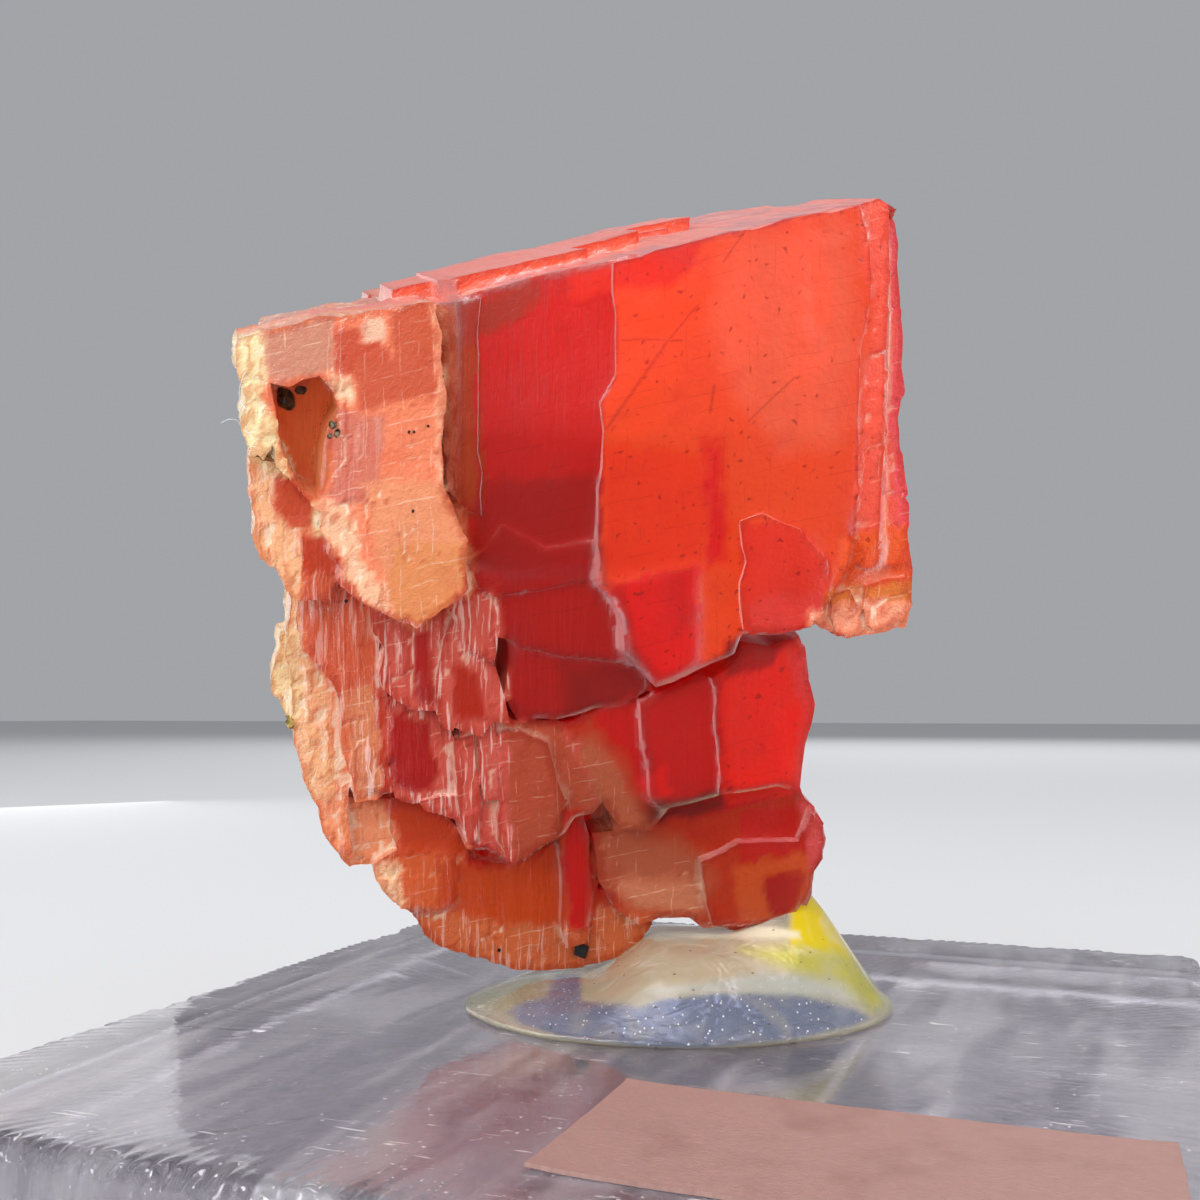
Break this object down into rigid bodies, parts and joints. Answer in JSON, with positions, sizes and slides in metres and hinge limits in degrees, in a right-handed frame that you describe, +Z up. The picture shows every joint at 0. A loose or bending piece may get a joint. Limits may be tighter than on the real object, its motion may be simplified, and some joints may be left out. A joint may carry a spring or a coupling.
{
  "type": "rhodochrosite crystal specimen on an acrylic base",
  "caption": "Stepped red rhodochrosite crystal glued upright on a clear square acrylic display slab with a bare paper label.",
  "frame": {"origin": "centre of the flat underside of the acrylic base", "axes": "+Z up, out of the base's top; +X along the base's front edge to the right, where the label is; +Y to the back"},
  "size_m": [0.0318, 0.0318, 0.032],
  "materials": {
    "rhodochrosite": "translucent cleavage faces, pale where cracked",
    "clear_glue": "glossy, slightly milky, yellow at one end",
    "clear_acrylic": "polished and finely scratched, rough cut edges",
    "paper": "matte paper sticker"
  },
  "bodies": {
    "root": {"rhodochrosite_crystal": "rhodochrosite", "glue_pad": "clear_glue", "acrylic_base": "clear_acrylic", "blank_label": "paper"}
  },
  "joints": []
}
